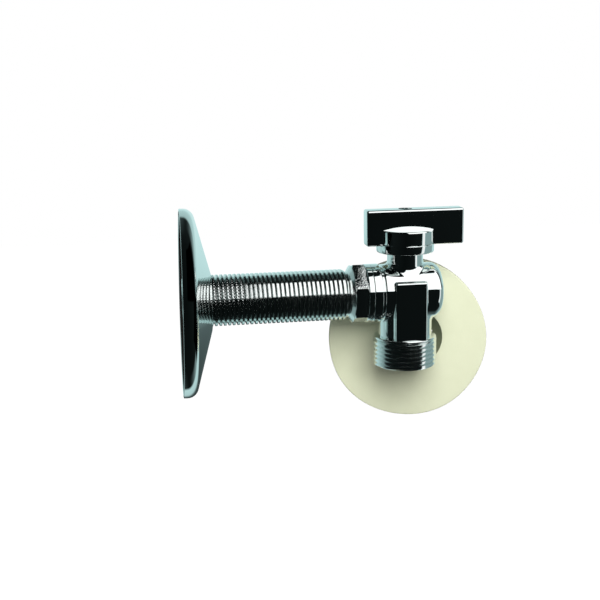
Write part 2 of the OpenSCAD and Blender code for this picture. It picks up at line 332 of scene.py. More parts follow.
class NodeSheet:
    """A small helper that writes node trees in reading order."""

    def __init__(self, tree: bpy.types.NodeTree) -> None:
        """Keeps the tree that the nodes go into."""
        self.tree = tree

    def add(self, kind: str, *inputs: object, **settings: object) -> bpy.types.Node:
        """Adds a node, sets it and feeds its inputs in order.

        Args:
            kind: The node's type name.
            inputs: For each input a socket, a value, or None to leave it.
            settings: Properties of the node.

        Returns:
            The node.
        """
        node = self.tree.nodes.new(kind)
        for name, value in settings.items():
            setattr(node, name, value)
        for i, value in enumerate(inputs):
            if value is not None:
                self.feed(node.inputs[i], value)
        return node

    def feed(self, socket: bpy.types.NodeSocket, value: object) -> None:
        """Links a socket to another one, or sets its value."""
        if isinstance(value, bpy.types.NodeSocket):
            self.tree.links.new(value, socket)
        else:
            socket.default_value = value

    def maths(self, operation: str, *values: object, clamp: bool = False) -> bpy.types.NodeSocket:
        """Adds a maths step and returns its result."""
        return self.add("ShaderNodeMath", *values, operation=operation, use_clamp=clamp).outputs[0]

    def ramp(self, value: bpy.types.NodeSocket, stops: Sequence[tuple[float, float]]) -> bpy.types.NodeSocket:
        """Adds a grey ramp.

        Args:
            value: What the ramp follows, from 0 to 1.
            stops: Places and grey levels along it.

        Returns:
            The ramp's grey level.
        """
        node = self.add("ShaderNodeValToRGB", value)
        bands = node.color_ramp.elements
        while len(bands) < len(stops):
            bands.new(0.5)
        for band, (place, grey) in zip(bands, stops):
            band.position = place
            band.color = (grey, grey, grey, 1.0)
        return node.outputs[0]

    def step(self, value: bpy.types.NodeSocket, low: float, high: float) -> bpy.types.NodeSocket:
        """Adds a smooth step from 0 at one value to 1 at another."""
        node = self.add("ShaderNodeMapRange", value, low, high, 0.0, 1.0, interpolation_type="SMOOTHSTEP")
        return node.outputs[0]


@dataclass(frozen=True)
class ScrewThread:
    """A right-hand pipe thread, cut by a Geometry Nodes tree that winds one ridge round a core."""

    name: str
    major_r: float
    start: float
    end: float
    pitch: float = SIZES.pitch
    depth: float = SIZES.thread_depth
    end_slope: float = 1.1
    steps_per_turn: int = 192
    rows_per_pitch: int = 8
    notched_to: float = 0.0
    notch_depth: float = 0.0
    crest_share: float = 0.14
    root_share: float = 0.12
    rounding: float = 0.22

    @property
    def root_r(self) -> float:
        """Radius at the bottom of the thread, to which both ends taper."""
        return self.major_r - self.depth

    def tree(self) -> bpy.types.GeometryNodeTree:
        """Builds the tree that bends a flat grid into the ridge."""
        tree = bpy.data.node_groups.new(f"{self.name}_thread", "GeometryNodeTree")
        face = tree.interface
        face.new_socket("Geometry", in_out="OUTPUT", socket_type="NodeSocketGeometry")
        for label, kind in (("Turns", "Int"), ("Steps per turn", "Int"), ("Rows", "Int"),
                            ("Pitch", "Float"), ("Major radius", "Float"), ("Depth", "Float"),
                            ("Start", "Float"), ("End", "Float"), ("End slope", "Float"),
                            ("Notched to", "Float"), ("Notch depth", "Float"),
                            ("Crest share", "Float"), ("Root share", "Float"), ("Rounding", "Float")):
            face.new_socket(label, in_out="INPUT", socket_type=f"NodeSocket{kind}")
        face.new_socket("Material", in_out="INPUT", socket_type="NodeSocketMaterial")
        sheet = NodeSheet(tree)
        size = sheet.add("NodeGroupInput").outputs
        m = sheet.maths
        columns = m("MULTIPLY", size["Turns"], size["Steps per turn"])
        grid = sheet.add("GeometryNodeMeshGrid", 1.0, 1.0, m("ADD", columns, 1.0), m("ADD", size["Rows"], 1.0))
        place = sheet.add("ShaderNodeSeparateXYZ", sheet.add("GeometryNodeInputPosition").outputs[0]).outputs
        turn = m("MULTIPLY", m("ADD", place[0], 0.5), size["Turns"])
        across = m("ADD", place[1], 0.5)
        along = m("MULTIPLY", m("ADD", m("SUBTRACT", turn, 1.5), across), size["Pitch"])
        height = m("MINIMUM", m("MAXIMUM", m("ADD", along, size["Start"]), size["Start"]), size["End"])
        # The ridge's section is a triangle wave with a rounded top and bottom
        wave = m("ABSOLUTE", m("SUBTRACT", m("MULTIPLY", across, 2.0), 1.0))
        flank = m("SUBTRACT", m("SUBTRACT", 1.0, size["Crest share"]), size["Root share"])
        climb = m("DIVIDE", m("SUBTRACT", wave, size["Root share"]), flank)
        rise = m("SMOOTH_MIN", m("SMOOTH_MAX", climb, 0.0, size["Rounding"]), 1.0, size["Rounding"])
        cut = m("MULTIPLY", m("SUBTRACT", 1.0, rise), size["Depth"])
        ridge = m("SUBTRACT", size["Major radius"], cut)
        step_no = m("ROUND", m("MULTIPLY", turn, size["Steps per turn"]))
        low_step = m("LESS_THAN", m("MODULO", step_no, 5.0), 0.5)
        near_wall = m("LESS_THAN", height, size["Notched to"])
        ridge_line = m("GREATER_THAN", wave, 0.9)
        notch = m("MULTIPLY", m("MULTIPLY", low_step, near_wall), m("MULTIPLY", size["Notch depth"], ridge_line))
        ridge = m("SUBTRACT", ridge, notch)
        root = m("SUBTRACT", size["Major radius"], size["Depth"])
        room = m("MINIMUM", m("SUBTRACT", height, size["Start"]), m("SUBTRACT", size["End"], height))
        taper = m("ADD", root, m("MULTIPLY", room, size["End slope"]))
        radius = m("MINIMUM", ridge, taper)
        angle = m("MULTIPLY", turn, 2 * math.pi)
        x = m("MULTIPLY", m("COSINE", angle), radius)
        y = m("MULTIPLY", m("SINE", angle), radius)
        bent = sheet.add("ShaderNodeCombineXYZ", x, y, height).outputs[0]
        moved = sheet.add("GeometryNodeSetPosition", grid.outputs[0], None, bent).outputs[0]
        welded = sheet.add("GeometryNodeMergeByDistance", moved)
        sheet.feed(welded.inputs["Distance"], 0.002)
        real = sheet.add("GeometryNodeRealizeInstances", welded.outputs[0]).outputs[0]
        dressed = sheet.add("GeometryNodeSetMaterial", real, None, size["Material"]).outputs[0]
        sheet.feed(sheet.add("NodeGroupOutput").inputs[0], dressed)
        return tree

    def mesh(self, axis: Axis, material: bpy.types.Material, centre_x: float = 0.0) -> bpy.types.Mesh:
        """Runs the tree and returns the thread's skin, open at both ends, about an axis.

        Args:
            axis: The axis of the thread.
            material: Its finish.
            centre_x: Where an upright axis stands along the pipe.

        Returns:
            The mesh, in metres.
        """
        holder = new_object(self.name, bpy.data.meshes.new(self.name))
        winding = holder.modifiers.new("thread", "NODES")
        winding.node_group = self.tree()
        turns = math.ceil((self.end - self.start) / self.pitch) + 2
        values = {"Turns": turns, "Steps per turn": self.steps_per_turn, "Rows": self.rows_per_pitch,
                  "Pitch": self.pitch, "Major radius": self.major_r, "Depth": self.depth,
                  "Start": self.start, "End": self.end, "End slope": self.end_slope,
                  "Notched to": self.notched_to, "Notch depth": self.notch_depth,
                  "Crest share": self.crest_share, "Root share": self.root_share,
                  "Rounding": self.rounding, "Material": material}
        for item in winding.node_group.interface.items_tree:
            if item.in_out == "INPUT":
                winding[item.identifier] = values[item.name]
        mesh = plain_copy(holder)
        points = np.empty(len(mesh.vertices) * 3, np.float32)
        mesh.vertices.foreach_get("co", points)
        placed = turn_to(points.reshape(-1, 3).astype(float), axis, centre_x) * MM
        mesh.vertices.foreach_set("co", placed.astype(np.float32).ravel())
        mesh.materials.clear()
        mesh.materials.append(material)
        mesh.polygons.foreach_set("material_index", [0] * len(mesh.polygons))
        mesh.update()
        return mesh


def smooth_union(a: np.ndarray, b: np.ndarray, reach: float) -> np.ndarray:
    """Blends two distance fields with a fillet of about the given reach."""
    share = np.maximum(reach - np.abs(a - b), 0.0) / reach
    return np.minimum(a, b) - share * share * reach * 0.25


def smooth_cut(a: np.ndarray, b: np.ndarray, reach: float) -> np.ndarray:
    """Keeps what lies in both fields, with the edge rounded by about the given reach."""
    return -smooth_union(-a, -b, reach)


@dataclass
class FieldSkin:
    """Turns a distance field into a fine quad mesh whose points lie exactly on its surface."""

    name: str
    shape: FieldFunction
    low: tuple[float, float, float]
    high: tuple[float, float, float]
    step: float = 0.4
    rounds: int = 4

    def slope(self, points: np.ndarray) -> np.ndarray:
        """The field's gradient at each point."""
        reach = 0.02
        out = np.empty_like(points)
        for i in range(3):
            shift = np.zeros(3)
            shift[i] = reach
            out[:, i] = (self.shape(*(points + shift).T) - self.shape(*(points - shift).T)) / (2 * reach)
        return out

    def settle(self, points: np.ndarray, times: int) -> np.ndarray:
        """Moves points along the gradient until they lie on the surface."""
        for _ in range(times):
            slope = self.slope(points)
            size = np.maximum((slope ** 2).sum(1), 0.2)
            points = points - slope * (self.shape(*points.T) / size)[:, None]
        return points

    def cells(self) -> tuple[np.ndarray, np.ndarray]:
        """Finds the cells that the surface passes through, and the quads between them.

        Returns:
            The middle of each such cell, and four cell numbers for each quad.
        """
        axes = [np.arange(lo, hi + self.step, self.step) for lo, hi in zip(self.low, self.high)]
        inside = self.shape(*np.meshgrid(*axes, indexing="ij")) < 0
        shape = tuple(n - 1 for n in inside.shape)
        full = np.zeros(shape, int)
        for i in (0, 1):
            for j in (0, 1):
                for k in (0, 1):
                    full += inside[i:shape[0] + i, j:shape[1] + j, k:shape[2] + k]
        active = (full > 0) & (full < 8)
        number = np.full(shape, -1)
        number[active] = np.arange(active.sum())
        middles = np.argwhere(active) * self.step + np.array(self.low) + self.step / 2
        quads = []
        for a in range(3):
            b, c = (a + 1) % 3, (a + 2) % 3
            turned = np.moveaxis(inside, (a, b, c), (0, 1, 2))
            cell = np.moveaxis(number, (a, b, c), (0, 1, 2))
            first, second = turned[:-1, 1:-1, 1:-1], turned[1:, 1:-1, 1:-1]
            for leaving in (True, False):
                i, j, k = np.nonzero((first != second) & (first == leaving))
                ring = [cell[i, j, k], cell[i, j + 1, k], cell[i, j + 1, k + 1], cell[i, j, k + 1]]
                quads.append(np.stack(ring if leaving else ring[::-1], 1))
        return middles, np.concatenate(quads)

    def mesh(self) -> bpy.types.Mesh:
        """Builds the skin.

        Returns:
            The mesh, in metres, with the field's own normals.
        """
        points, quads = self.cells()
        edges = np.concatenate([quads[:, [0, 1]], quads[:, [1, 2]], quads[:, [2, 3]], quads[:, [3, 0]]])
        points = self.settle(points, 2)
        for _ in range(self.rounds):
            total = np.zeros_like(points)
            count = np.zeros(len(points))
            np.add.at(total, edges[:, 0], points[edges[:, 1]])
            np.add.at(count, edges[:, 0], 1)
            points = self.settle(0.5 * points + 0.5 * total / count[:, None], 2)
        points = self.settle(points, 4)
        mesh = mesh_from(self.name, points, quads)
        normals = self.slope(points)
        normals /= np.maximum(np.linalg.norm(normals, axis=1), 1e-9)[:, None]
        mesh.shade_smooth()
        mesh.normals_split_custom_set_from_vertices(normals.tolist())
        return mesh


@dataclass(frozen=True)
class ChromeFinish:
    """Bright nickel chrome plating over polished metal."""

    name: str = "chrome"
    colour: tuple[float, float, float] = (0.83, 0.87, 0.86)
    roughness: float = 0.045
    ripple: float = 0.04
    ripple_size_mm: float = 5.0

    def material(self) -> bpy.types.Material:
        """Builds the material: a mirror with a faint ripple and fine wiping marks."""
        material = bpy.data.materials.new(self.name)
        material.use_nodes = True
        sheet = NodeSheet(material.node_tree)
        shader = material.node_tree.nodes["Principled BSDF"]
        place = sheet.add("ShaderNodeTexCoord").outputs["Object"]
        shader.inputs["Metallic"].default_value = 1.0
        sheet.feed(shader.inputs["Base Color"], (*self.colour, 1.0))
        haze = sheet.add("ShaderNodeTexNoise", place)
        haze.inputs["Scale"].default_value = 90.0
        haze.inputs["Detail"].default_value = 4.0
        spread = sheet.add("ShaderNodeMapRange", haze.outputs[0])
        for label, value in (("From Min", 0.3), ("From Max", 0.75), ("To Min", self.roughness * 0.7),
                             ("To Max", self.roughness * 1.6)):
            spread.inputs[label].default_value = value
        sheet.feed(shader.inputs["Roughness"], spread.outputs[0])
        ripple = sheet.add("ShaderNodeTexNoise", place)
        ripple.inputs["Scale"].default_value = 1.0 / (self.ripple_size_mm * MM)
        ripple.inputs["Detail"].default_value = 1.0
        bump = sheet.add("ShaderNodeBump")
        bump.inputs["Strength"].default_value = self.ripple
        bump.inputs["Distance"].default_value = 0.2 * MM
        sheet.feed(bump.inputs["Height"], ripple.outputs[0])
        sheet.feed(shader.inputs["Normal"], bump.outputs[0])
        return material


@dataclass(frozen=True)
class PlainFinish:
    """A finish with a mottled colour and a fine grain, for seals, brass and steel."""

    name: str
    colour: tuple[float, float, float]
    darker: tuple[float, float, float]
    metallic: float = 0.0
    roughness: float = 0.5
    grain_mm: float = 0.6
    grain: float = 0.1
    sheen: float = 0.0

    def material(self) -> bpy.types.Material:
        """Builds the material."""
        material = bpy.data.materials.new(self.name)
        material.use_nodes = True
        sheet = NodeSheet(material.node_tree)
        shader = material.node_tree.nodes["Principled BSDF"]
        place = sheet.add("ShaderNodeTexCoord").outputs["Object"]
        shader.inputs["Metallic"].default_value = self.metallic
        shader.inputs["Roughness"].default_value = self.roughness
        shader.inputs["Sheen Weight"].default_value = self.sheen
        cloud = sheet.add("ShaderNodeTexNoise", place)
        cloud.inputs["Scale"].default_value = 1.0 / (self.grain_mm * MM * 12)
        cloud.inputs["Detail"].default_value = 6.0
        mix = sheet.add("ShaderNodeMix", cloud.outputs[0], data_type="RGBA")
        mix.inputs[6].default_value = (*self.darker, 1.0)
        mix.inputs[7].default_value = (*self.colour, 1.0)
        sheet.feed(shader.inputs["Base Color"], mix.outputs[2])
        grain = sheet.add("ShaderNodeTexNoise", place)
        grain.inputs["Scale"].default_value = 1.0 / (self.grain_mm * MM)
        grain.inputs["Detail"].default_value = 3.0
        bump = sheet.add("ShaderNodeBump")
        bump.inputs["Strength"].default_value = self.grain
        bump.inputs["Distance"].default_value = 0.1 * MM
        sheet.feed(bump.inputs["Height"], grain.outputs[0])
        sheet.feed(shader.inputs["Normal"], bump.outputs[0])
        return material


@dataclass
class Finishes:
    """Every finish on the tap, each made once."""

    chrome: bpy.types.Material = field(default_factory=lambda: ChromeFinish().material())
    thread_chrome: bpy.types.Material = field(default_factory=lambda: ChromeFinish(
        name="thread_chrome", roughness=0.12, ripple=0.08, ripple_size_mm=0.9).material())
    cast_chrome: bpy.types.Material = field(default_factory=lambda: ChromeFinish(
        name="cast_chrome", roughness=0.08, ripple=0.5, ripple_size_mm=0.55).material())
    # Near-black matt colour for the inside of the rosette: painted shade and painted dark reflection standing in
    # for the shaded hollow of the dish.
    inside_painted_shade: bpy.types.Material = field(default_factory=lambda: PlainFinish(
        "rosette_inside_painted_shade", (0.03, 0.028, 0.025), (0.015, 0.014, 0.013), roughness=0.6).material())
    brass: bpy.types.Material = field(default_factory=lambda: PlainFinish(
        "turned_brass", (0.78, 0.6, 0.32), (0.66, 0.48, 0.24), metallic=1.0, roughness=0.3).material())
    steel: bpy.types.Material = field(default_factory=lambda: PlainFinish(
        "screw_steel", (0.5, 0.5, 0.51), (0.36, 0.36, 0.37), metallic=1.0, roughness=0.32).material())
    seal_plastic: bpy.types.Material = field(default_factory=lambda: PlainFinish(
        "seat_plastic", (0.9, 0.9, 0.87), (0.82, 0.82, 0.79), roughness=0.45).material())
    rubber: bpy.types.Material = field(default_factory=lambda: PlainFinish(
        "seal_rubber", (0.03, 0.03, 0.03), (0.02, 0.02, 0.02), roughness=0.55).material())
    foam: bpy.types.Material = field(default_factory=lambda: PlainFinish(
        "foam", (0.79, 0.82, 0.60), (0.73, 0.76, 0.54), roughness=0.9, grain_mm=0.5, grain=0.45,
        sheen=0.15).material())
    # Dark olive colour for the wall of the disc's hole: mostly painted shade of the valve's shadow on that wall,
    # with a little of the cut foam's own darker tone.
    foam_hole_painted_shade: bpy.types.Material = field(default_factory=lambda: PlainFinish(
        "foam_hole_painted_shade", (0.2, 0.22, 0.14), (0.14, 0.16, 0.09), roughness=0.95, grain_mm=0.5, grain=0.5).material())


@dataclass
class InletPipe:
    """The turned inlet: threaded pipe, hexagon, collar and the spigot inside the body."""

    sizes: TapSizes
    finishes: Finishes
    start: float = 1.8
    flare_w: float = 2.4
    flare_r: float = 11.9
    edge: float = 0.16

    def thread_shell(self) -> bpy.types.Mesh:
        """The threaded length with its bore, from the wall end to the flare."""
        s = self.sizes
        end = s.hex_x - self.flare_w
        thread = ScrewThread("pipe_thread", s.pipe_r, self.start, end, steps_per_turn=255,
                             notched_to=25.5, notch_depth=0.19,
                             crest_share=0.5, root_share=0.06, rounding=0.02)
        skin = thread.mesh(Axis.PIPE, self.finishes.thread_chrome)
        rest = [(thread.root_r, end), *arc((thread.root_r + 0.9, end + 0.1), 0.9, 180, 130, 4),
                (self.flare_r - 0.2, s.hex_x - 0.3), (self.flare_r, s.hex_x - 0.1),
                (self.flare_r - 0.3, s.hex_x + 0.2), (s.pipe_bore_r, s.hex_x + 0.6)]
        bore = [(s.pipe_bore_r, self.start + 0.3), (s.pipe_bore_r + 0.3, self.start),
                (thread.root_r, self.start)]
        tail = lathe("pipe_tail", rest + bore, Axis.PIPE, steps=255)
        tail.materials.append(self.finishes.thread_chrome)
        both = joined("pipe_shell", [skin, tail])
        mesh = both.data
        bpy.data.objects.remove(both)
        return tidy_mesh(mesh, sharp_deg=34, weld=4e-6)

    def hexagon(self) -> bpy.types.Mesh:
        """The hexagon with its corners turned off at both ends."""
        s = self.sizes
        ridge_r = s.hex_af / 2 / math.cos(math.radians(30))
        low, high = s.hex_x, s.collar_x
        turns = [math.radians(60 * i + s.hex_turn_deg) for i in range(6)]
        ring = [(ridge_r * math.sin(a), -ridge_r * math.cos(a)) for a in turns]
        points = np.array([(x, y, z) for z in (low, high) for x, y in ring])
        faces = [[(i + 1) % 6, i, i + 6, (i + 1) % 6 + 6][::-1] for i in range(6)]
        faces += [[5, 4, 3, 2, 1, 0], [6, 7, 8, 9, 10, 11]]
        prism = mesh_from("hex_prism", turn_to(points, Axis.PIPE), faces)
        tidy_mesh(prism)
        face_r, clear_r = ridge_r - 0.7, ridge_r + 1
        slope_w = (clear_r - face_r) * math.tan(math.radians(35))
        cone = lathe("hex_cone", [(0, low), (face_r, low), (clear_r, low + slope_w),
                                  (clear_r, high - slope_w), (face_r, high), (0, high)], Axis.PIPE)
        tidy_mesh(cone)
        return tidy_mesh(softened(combine(prism, cone, "INTERSECT"), self.edge), 30)

    def collar(self) -> bpy.types.Mesh:
        """The round collar against the body's mouth, with the spigot behind it."""
        s = self.sizes
        r, low, high = s.collar_r, s.collar_x, s.mouth_x
        spigot_r, spigot_end = 8.97, 87.6
        outline = [(s.waterway_r, low - 1), (9.0, low - 1), (9.0, low), (r - 0.5, low),
                   *arc((r - 0.4, low + 0.4), 0.4, -90, 0), (r, high - 0.3),
                   *arc((r - 0.22, high - 0.22), 0.22, 0, 90), (spigot_r, high), (spigot_r, spigot_end),
                   (s.waterway_r, spigot_end)]
        return tidy_mesh(lathe("collar", outline, Axis.PIPE, ring=True))

    def throat(self) -> bpy.types.Mesh:
        """The narrowing inside the pipe, seen down its bore."""
        s = self.sizes
        outline = [(s.pipe_bore_r + 0.5, s.hex_x), (s.pipe_bore_r + 0.5, s.collar_x),
                   (s.waterway_r, s.collar_x), (s.waterway_r, s.hex_x + 4.7), (s.pipe_bore_r, s.hex_x + 2)]
        return tidy_mesh(lathe("throat", outline, Axis.PIPE, ring=True))

    def build(self) -> bpy.types.Object:
        """Builds and dresses the whole piece."""
        parts = [self.thread_shell(), self.hexagon(), self.collar(), self.throat()]
        for part in parts[1:]:
            part.materials.clear()
            part.materials.append(self.finishes.chrome)
        parts[1].materials[0] = self.finishes.cast_chrome
        piece = joined("inlet_pipe_dressed", parts)
        return piece


@dataclass
class ValveBody:
    """The forged body: mouth ring, barrel, neck, pad, outlet and hose thread."""

    sizes: TapSizes
    finishes: Finishes
    barrel_round: float = 4.0
    pad_half_w: float = 6.625
    pad_face: float = 12.3
    pad_top: float = 5.9
    pad_round: float = 0.8
    chamber_r: float = 7.8
    chamber_half_w: float = 6.37
    stem_bore_r: float = 3.55

    def form(self, x: np.ndarray, y: np.ndarray, z: np.ndarray) -> np.ndarray:
        """Distance field of barrel, neck, outlet and pad, hollow inside, in millimetres."""
        s = self.sizes
        u = x - s.valve_x
        upright = np.hypot(u, y)
        level = np.hypot(y, z)
        round_r = self.barrel_round
        over_r = level - (s.barrel_r - round_r)
        over_x = x - (s.barrel_end - round_r)
        barrel = (np.hypot(np.maximum(over_r, 0), np.maximum(over_x, 0))
                  + np.minimum(np.maximum(over_r, over_x), 0) - round_r)
        barrel = smooth_cut(barrel, s.barrel_x - x, 0.8)
        neck = smooth_cut(np.maximum(upright - s.neck_r, -z), z - s.neck_top, 0.8)
        solid = smooth_union(barrel, neck, 1.7)
        outlet = np.maximum(upright - s.outlet_r, np.maximum(z, -z - s.shoulder_z - 0.5))
        solid = smooth_union(solid, outlet, 0.9)
        half_h = (self.pad_top + s.shoulder_z + 0.4) / 2
        mid_z = self.pad_top - half_h
        corner = [np.abs(u) - (self.pad_half_w - self.pad_round),
                  np.abs(y) - (self.pad_face - self.pad_round),
                  np.abs(z - mid_z) - (half_h - self.pad_round)]
        outside = np.sqrt(sum(np.maximum(c, 0) ** 2 for c in corner))
        pad = outside + np.minimum(np.maximum.reduce(corner), 0) - self.pad_round
        pad = np.maximum(pad, y)
        solid = smooth_union(solid, pad, 0.5)
        waterway = np.maximum(upright - s.waterway_r, z)
        chamber = np.maximum(level - self.chamber_r, np.abs(u) - self.chamber_half_w)
        spigot = np.maximum(level - 9.0, u + self.chamber_half_w)
        bore = np.maximum(upright - self.stem_bore_r, -z)
        hollow = np.minimum(np.minimum(waterway, chamber), np.minimum(spigot, bore))
        return np.maximum(solid, -hollow)

    def core(self) -> bpy.types.Mesh:
        """Barrel, neck, outlet and pad as one smooth skin."""
        s = self.sizes
        low = (s.barrel_x - 1.5, -13.6, -s.shoulder_z - 2)
        high = (s.barrel_end + 1.5, 13.2, s.neck_top + 1.5)
        return FieldSkin("body_core", self.form, low, high, step=0.36).mesh()

    def mouth_ring(self) -> bpy.types.Mesh:
        """The ring that the inlet screws into, with the groove behind it."""
        s = self.sizes
        r, low = s.collar_r, s.mouth_x + 0.06
        high = s.mouth_x + s.mouth_w
        groove_r = r - 0.9
        outline = [(9.05, low), (r - 0.25, low), *arc((r - 0.25, low + 0.25), 0.25, -90, 0, 4),
                   *arc((r - 0.4, high - 0.4), 0.4, 0, 80, 5), (groove_r, high + 0.1),
                   (groove_r, s.barrel_x + 0.6), (9.05, s.barrel_x + 0.6)]
        return tidy_mesh(lathe("mouth_ring", outline, Axis.PIPE, ring=True))

    def hose_end(self) -> bpy.types.Mesh:
        """The shoulder, the hose thread and the bored outlet."""
        s = self.sizes
        start, end = s.shoulder_z + 0.95, s.outlet_end - 0.15
        thread = ScrewThread("hose_thread", s.hose_r, start, end, end_slope=2.2,
                             depth=0.85, crest_share=0.5, root_share=0.06, rounding=0.02)
        skin = thread.mesh(Axis.OUTLET, self.finishes.thread_chrome, s.valve_x)
        top_r = s.hose_r - 0.15
        top = [(s.waterway_r, s.shoulder_z), (top_r - 1.0, s.shoulder_z),
               *arc((top_r - 0.65, s.shoulder_z + 0.65), 0.65, -90, 25, 7), (thread.root_r, start)]
        bottom = [(thread.root_r, end), (thread.root_r - 0.1, s.outlet_end),
                  (s.outlet_bore_r + 0.3, s.outlet_end), (s.outlet_bore_r, s.outlet_end - 0.3),
                  (s.outlet_bore_r, s.outlet_end - s.outlet_bore_w),
                  (s.waterway_r, s.outlet_end - s.outlet_bore_w)]
        ends = lathe("hose_ends", bottom + top, Axis.OUTLET, s.valve_x)
        ends.materials.append(self.finishes.thread_chrome)
        both = joined("hose_shell", [skin, ends])
        mesh = both.data
        bpy.data.objects.remove(both)
        return tidy_mesh(mesh, sharp_deg=34, weld=4e-6)

    def build(self) -> bpy.types.Object:
        """Builds and dresses the whole piece."""
        core, ring, hose = self.core(), self.mouth_ring(), self.hose_end()
        for part in (core, ring):
            part.materials.append(self.finishes.chrome)
        return joined("valve_body_dressed", [core, ring, hose])


@dataclass
class Handle:
    """The cast lever: a blade on a round boss."""

    sizes: TapSizes
    finishes: Finishes
    blade_l: float = 40.8
    blade_h: float = 14.8
    blade_w: float = 7.2
    blade_offset: float = 3.6
    blade_bottom: float = 19.9
    blade_round: float = 0.9
    skirt_r: float = 11.9
    skirt_bottom: float = 17.0
    skirt_h: float = 3.7
    boss_r: float = 11.45
    boss_right: float = 0.4
    boss_h: float = 5.7
    crown_h: float = 1.4
    recess_r: float = 2.8

    def blade(self) -> bpy.types.Mesh:
        """The blade as a rounded bar with the screw's recess sunk in it."""
        s = self.sizes
        work = bmesh.new()
        bmesh.ops.create_cube(work, size=1.0)
        size = Matrix.Diagonal((self.blade_l * MM, self.blade_w * MM, self.blade_h * MM, 1))
        middle = ((s.valve_x + self.blade_offset) * MM, 0, (self.blade_bottom + self.blade_h / 2) * MM)
        bmesh.ops.transform(work, verts=work.verts, matrix=Matrix.Translation(middle) @ size)
        mesh = bpy.data.meshes.new("blade")
        work.to_mesh(mesh)
        work.free()
        bar = tidy_mesh(softened(mesh, self.blade_round, steps=6))
        top = self.blade_bottom + self.blade_h
        drill = lathe("drill", [(0, top - 3), (self.recess_r, top - 3), (self.recess_r, top + 1),
                                (0, top + 1)], Axis.STEM, s.valve_x, steps=64)
        return tidy_mesh(combine(bar, tidy_mesh(drill), "DIFFERENCE"), 30)

    def boss(self) -> bpy.types.Mesh:
        """The turned part: skirt, boss and crown, hollow underneath."""
        skirt_top = self.skirt_bottom + self.skirt_h
        boss_top = skirt_top + self.boss_h
        neck_r, pocket_top = self.sizes.neck_r + 0.4, self.sizes.neck_top + 0.5
        crown_r = self.boss_r - 0.7
        crown = [(crown_r * (1 - i / 14), boss_top + 0.12 + self.crown_h * (1 - (1 - i / 14) ** 2))
                 for i in range(1, 14)]
        outline = [(0, pocket_top), (neck_r, pocket_top), (neck_r, self.skirt_bottom),
                   (self.skirt_r - 0.7, self.skirt_bottom),
                   *arc((self.skirt_r - 0.7, self.skirt_bottom + 0.7), 0.7, -90, 0),
                   (self.skirt_r, skirt_top - 0.22),
                   *arc((self.skirt_r - 0.12, skirt_top - 0.22), 0.12, 0, 90, 3),
                   (self.boss_r - 0.08, skirt_top - 0.08), (self.boss_r, skirt_top + 0.1),
                   *arc((self.boss_r - 0.7, boss_top - 0.6), 0.7, 0, 78), *crown,
                   (0, boss_top + 0.12 + self.crown_h)]
        mesh = lathe("boss", outline, Axis.STEM, self.sizes.valve_x)
        for vertex in mesh.vertices:
            if vertex.co.z > (skirt_top + 0.05) * MM:
                vertex.co.x += self.boss_right * MM
        return tidy_mesh(mesh, 40)

    def build(self) -> bpy.types.Object:
        """Builds and dresses the lever."""
        whole = tidy_mesh(combine(self.blade(), self.boss(), "UNION"), 30)
        whole.materials.clear()
        whole.materials.append(self.finishes.chrome)
        return new_object("handle_dressed", whole)


@dataclass
class Rosette:
    """The pressed sheet dish, which hangs a little low and askew on the pipe."""

    sizes: TapSizes
    finishes: Finishes
    outer_r: float = 38.3
    rim_w: float = 1.6
    bend_r: float = 4.5
    slope_deg: float = 15.25
    sheet: float = 0.9
    gap: float = 0.9
    lean_deg: float = 0.86
    swing_deg: float = -1.2
    drop: float = 0.65
    off_wall: float = 1.0

    def build(self) -> bpy.types.Object:
        """Turns the dish from its section."""
        inner_r = self.sizes.pipe_r + self.gap
        middle = (self.outer_r - self.bend_r, self.rim_w)
        outer = arc(middle, self.bend_r, 0, 90 - self.slope_deg, 14)
        inner = arc(middle, self.bend_r - self.sheet, 0, 90 - self.slope_deg, 14)
        fall = math.tan(math.radians(self.slope_deg))
        lip_out = (inner_r, outer[-1][1] + (outer[-1][0] - inner_r) * fall)
        lip_in = (inner_r, inner[-1][1] + (inner[-1][0] - inner_r) * fall)
        edge = 0.25
        outline = [(self.outer_r - self.sheet, edge), (self.outer_r - self.sheet + edge, 0),
                   *arc((self.outer_r - edge, edge), edge, -90, 0, 4), *outer,
                   (lip_out[0] + edge, lip_out[1] - edge * fall), (lip_out[0], lip_out[1] - edge), lip_in,
                   *inner[::-1]]
        mesh = tidy_mesh(lathe("rosette", outline, Axis.PIPE, steps=256, ring=True), 25)
        mesh.materials.append(self.finishes.chrome)
        mesh.materials.append(self.finishes.inside_painted_shade)
        # Faces that look into the dish or back at the wall, inside the rim, get the near-black painted shade
        # instead of chrome.
        for face in mesh.polygons:
            out = Vector((0, face.center.y, face.center.z)).normalized()
            inner = out.dot(face.normal) < -0.1 or face.normal.x < -0.5
            face.material_index = int(inner and out.dot(face.center) < (self.outer_r - self.sheet + 0.05) * MM)
        mesh.transform(Matrix.Translation((self.off_wall * MM, 0, -self.drop * MM))
                       @ Matrix.Rotation(math.radians(self.swing_deg), 4, "Z")
                       @ Matrix.Rotation(math.radians(self.lean_deg), 4, "Y"))
        return new_object("rosette_dressed", mesh)


